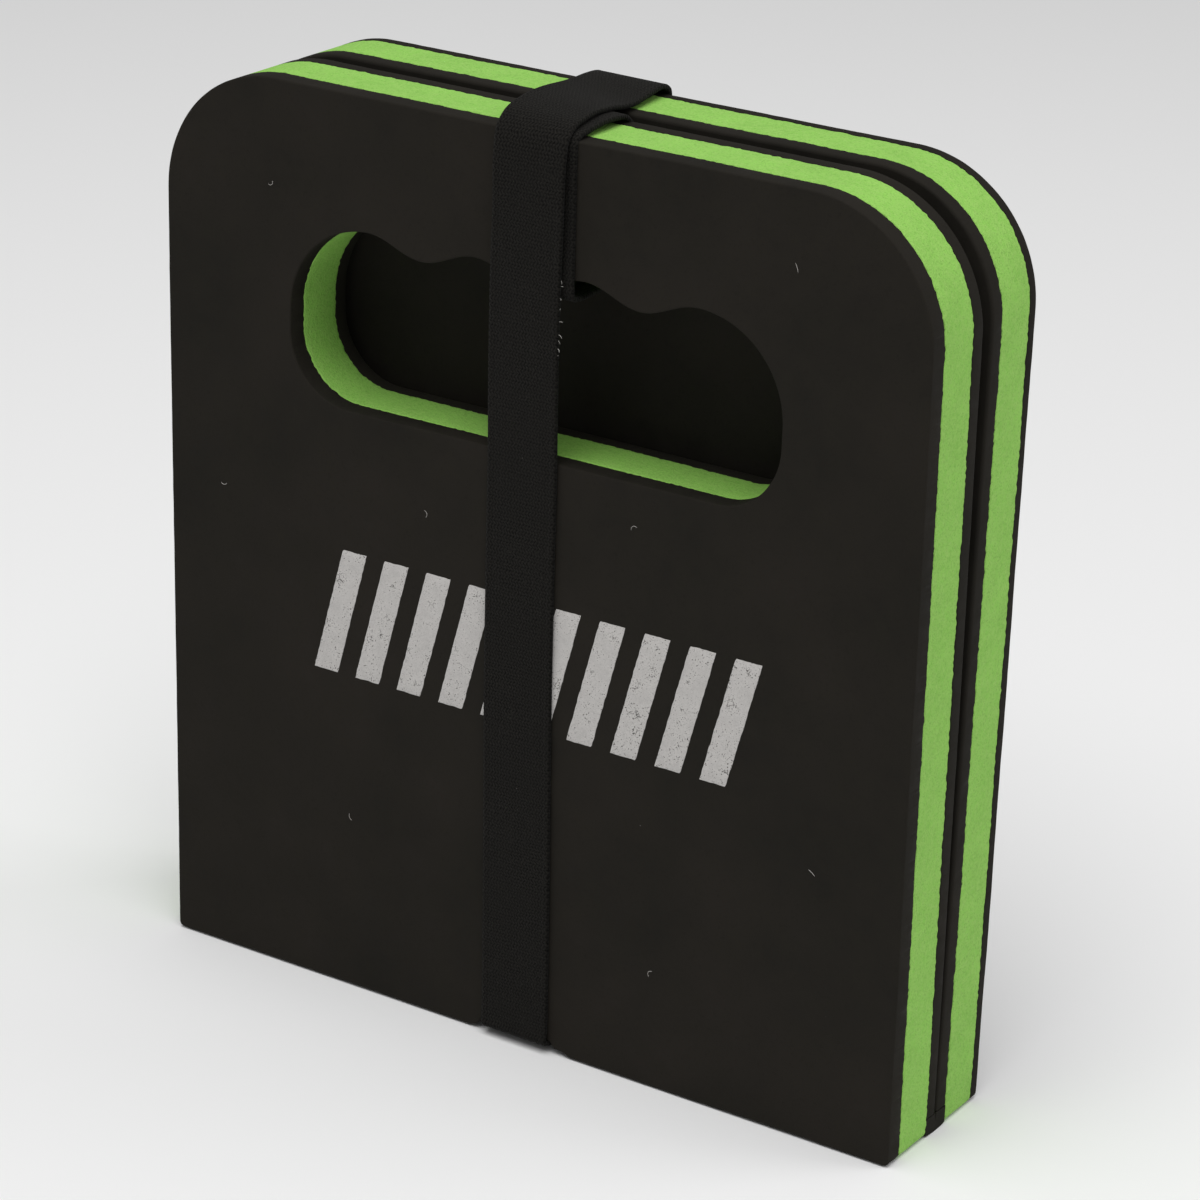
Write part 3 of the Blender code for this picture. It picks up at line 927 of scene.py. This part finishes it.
class KneelerPrint(bpy.types.PropertyGroup):
    bars: IntProperty(name="Bars", description="Number of printed bars", default=10, min=2)
    row_width: length("Row width", "Overall width of the print", 133 * MM)
    bar_width: length("Bar width", "Width of each bar", 7.4 * MM)
    bar_height: length("Bar height", "Height of each bar", 34 * MM)
    slant: length("Slant", "How far each bar leans to the right", 9 * MM)
    centre_x: length("Centre X", "Middle of the print", 2.5 * MM)
    centre_z: length("Centre Z", "Middle of the print", 105.5 * MM)
    colour: tint("Ink", "Colour of the ink", (0.60, 0.58, 0.56))


class KneelerStage(bpy.types.PropertyGroup):
    floor_size: length("Floor", "Side of the floor", 14.0)
    floor_colour: tint("Floor colour", "Colour of the floor", (0.93, 0.93, 0.93))
    sky: FloatProperty(name="Room light", description="Brightness of the room", default=0.3)
    top_power: FloatProperty(name="Top light", description="Power of the overhead softbox",
                             unit="POWER", default=42)
    side_power: FloatProperty(name="Side light", description="Power of the softbox on the right",
                              unit="POWER", default=9)


# ---------------------------------------------------------------- operators

class KNEELER_OT_front_panel(bpy.types.Operator):
    """Builds the front panel's three foam layers, with the handle hole"""
    bl_idname = "kneeler.front_panel"
    bl_label = "Front Panel"

    def execute(self, context):
        faces = (FRONT_FACE, (SKIN_HIGH.y + CORE_LOW.y) / 2, (CORE_HIGH.y + LINER_LOW.y) / 2,
                 LINER_HIGH.y)
        make_panel("front", -1, "front_panel", faces, True)
        return {"FINISHED"}


class KNEELER_OT_rear_panel(bpy.types.Operator):
    """Builds the rear panel's three foam layers"""
    bl_idname = "kneeler.rear_panel"
    bl_label = "Rear Panel"

    def execute(self, context):
        faces = (REAR_FACE, (REAR_SKIN_LOW.y + REAR_CORE_HIGH.y) / 2,
                 (REAR_CORE_LOW.y + REAR_LINER_HIGH.y) / 2, REAR_LINER_LOW.y)
        make_panel("rear", 1, "rear_panel", faces, False)
        return {"FINISHED"}


class KNEELER_OT_fold_web(bpy.types.Operator):
    """Builds the bent strip of the inner sheet that joins the panels"""
    bl_idname = "kneeler.fold_web"
    bl_label = "Fold Web"

    def execute(self, context):
        make_fold_web()
        return {"FINISHED"}


class KNEELER_OT_strap(bpy.types.Operator):
    """Builds the elastic band and the small loop round the handle"""
    bl_idname = "kneeler.strap"
    bl_label = "Strap"

    def execute(self, context):
        make_handle_loop()
        make_band()
        return {"FINISHED"}


class KNEELER_OT_stitching(bpy.types.Operator):
    """Builds the bar-tacks that close the handle loop and the band"""
    bl_idname = "kneeler.stitching"
    bl_label = "Stitching"

    def execute(self, context):
        half = context.scene.kneeler_strap.thickness / 2
        loop_z = (LOOP_TACK_LOW.z + LOOP_TACK_HIGH.z) / 2
        loop_y = lean(LINER_HIGH.y, loop_z, -1) + 2 * half + 0.1 * MM
        shift = context.scene.kneeler_strap.loop_shift
        make_tack("loop_tack_thread", (shift, loop_y, loop_z), "front_panel", "loop_stitching")
        band_z = (BAND_TACK_LOW.z + BAND_TACK_HIGH.z) / 2
        band_place = (drift_at(band_z, REAR_DRIFT), rear_y(band_z, BAND_REAR_GAP) + half, band_z)
        band = make_tack("band_tack_thread", band_place, "strap", "band_stitching")
        crumple(band)
        return {"FINISHED"}


class KNEELER_OT_wear(bpy.types.Operator):
    """Builds the frayed ends of the elastic and a few hairs of lint"""
    bl_idname = "kneeler.wear"
    bl_label = "Wear"

    def execute(self, context):
        make_frayed_ends()
        make_lint()
        return {"FINISHED"}


class KNEELER_OT_print(bpy.types.Operator):
    """Builds the printed bars on the front face"""
    bl_idname = "kneeler.print"
    bl_label = "Print"

    def execute(self, context):
        make_print()
        return {"FINISHED"}


class KNEELER_OT_stage(bpy.types.Operator):
    """Adds the floor, the lights and the camera"""
    bl_idname = "kneeler.stage"
    bl_label = "Stage"

    def execute(self, context):
        stage = context.scene.kneeler_stage
        make_floor(stage)
        make_lights(stage)
        make_camera()
        return {"FINISHED"}


def make_floor(stage):
    """The white paper that the pad stands on."""
    bm = bmesh.new()
    bmesh.ops.create_grid(bm, x_segments=1, y_segments=1, size=stage.floor_size / 2)
    mesh = bpy.data.meshes.new("floor")
    bm.to_mesh(mesh)
    bm.free()
    material, _, shader = new_material("floor_paper", 0.9, 0.1)
    shader.inputs["Base Color"].default_value = (*stage.floor_colour, 1)
    mesh.materials.append(material)
    floor = bpy.data.objects.new("floor", mesh)
    bpy.context.scene.collection.objects.link(floor)


def aim(obj, place, target):
    """Puts an object in place and turns it to face the target."""
    obj.location = place
    obj.rotation_euler = (Vector(target) - Vector(place)).to_track_quat("-Z", "Y").to_euler()


def make_softbox(name, place, size, power):
    """A square area light aimed at the pad."""
    light = bpy.data.lights.new(name, "AREA")
    light.shape = "SQUARE"
    light.size = size
    light.energy = power
    obj = bpy.data.objects.new(name, light)
    bpy.context.scene.collection.objects.link(obj)
    aim(obj, place, (0, 0, HEIGHT / 2))


def make_lights(stage):
    """An even white room, with a softbox above and one at the right."""
    world = bpy.data.worlds.new("room")
    world.use_nodes = True
    world.node_tree.nodes["Background"].inputs["Color"].default_value = (1, 1, 1, 1)
    world.node_tree.nodes["Background"].inputs["Strength"].default_value = stage.sky
    bpy.context.scene.world = world
    make_softbox("top_softbox", (0.2, -0.7, 2.2), 2.0, stage.top_power)
    make_softbox("right_softbox", (1.7, 1.1, 1.3), 1.2, stage.side_power)


def make_camera():
    """A long lens above the right front corner, looking down at the pad."""
    yaw, pitch, roll = (radians(a) for a in (32.93, 21.8, 1.81))
    forward = Vector((-sin(yaw) * cos(pitch), cos(yaw) * cos(pitch), -sin(pitch)))
    right = Vector((cos(yaw), sin(yaw), 0))
    up = right.cross(forward)
    tilted_right = cos(roll) * right + sin(roll) * up
    tilted_up = cos(roll) * up - sin(roll) * right
    axes = Matrix((tilted_right, tilted_up, -forward)).transposed()
    data = bpy.data.cameras.new("camera")
    data.lens = 124.3
    data.sensor_width = 36
    camera = bpy.data.objects.new("camera", data)
    camera.matrix_world = Matrix.Translation(Vector((528.58, -804.17, 500.24)) * MM) @ axes.to_4x4()
    bpy.context.scene.collection.objects.link(camera)
    bpy.context.scene.camera = camera
    bpy.context.scene.view_settings.view_transform = "Standard"


class KNEELER_PT_panel(bpy.types.Panel):
    """Kneeling pad settings and builders"""
    bl_idname = "KNEELER_PT_panel"
    bl_label = "Kneeling Pad"
    bl_space_type = "VIEW_3D"
    bl_region_type = "UI"
    bl_category = "Kneeling Pad"

    def draw(self, context):
        for operator in OPERATORS:
            self.layout.operator(operator.bl_idname)
        scene = context.scene
        for group in (scene.kneeler_foam, scene.kneeler_strap, scene.kneeler_print, scene.kneeler_stage):
            column = self.layout.column()
            for name in group.__annotations__:
                column.prop(group, name)


OPERATORS = (KNEELER_OT_stage, KNEELER_OT_front_panel, KNEELER_OT_rear_panel, KNEELER_OT_fold_web,
             KNEELER_OT_strap, KNEELER_OT_stitching, KNEELER_OT_print, KNEELER_OT_wear)
CLASSES = (KneelerFoam, KneelerStrap, KneelerPrint, KneelerStage, *OPERATORS, KNEELER_PT_panel)


def register():
    for cls in CLASSES:
        bpy.utils.register_class(cls)
    bpy.types.Scene.kneeler_foam = PointerProperty(type=KneelerFoam)
    bpy.types.Scene.kneeler_strap = PointerProperty(type=KneelerStrap)
    bpy.types.Scene.kneeler_print = PointerProperty(type=KneelerPrint)
    bpy.types.Scene.kneeler_stage = PointerProperty(type=KneelerStage)


def unregister():
    del bpy.types.Scene.kneeler_stage
    del bpy.types.Scene.kneeler_print
    del bpy.types.Scene.kneeler_strap
    del bpy.types.Scene.kneeler_foam
    for cls in reversed(CLASSES):
        bpy.utils.unregister_class(cls)


def main():
    register()
    bpy.ops.kneeler.stage()
    bpy.ops.kneeler.front_panel()
    bpy.ops.kneeler.rear_panel()
    bpy.ops.kneeler.fold_web()
    bpy.ops.kneeler.strap()
    bpy.ops.kneeler.stitching()
    bpy.ops.kneeler.print()
    bpy.ops.kneeler.wear()


if __name__ == "__main__":
    main()
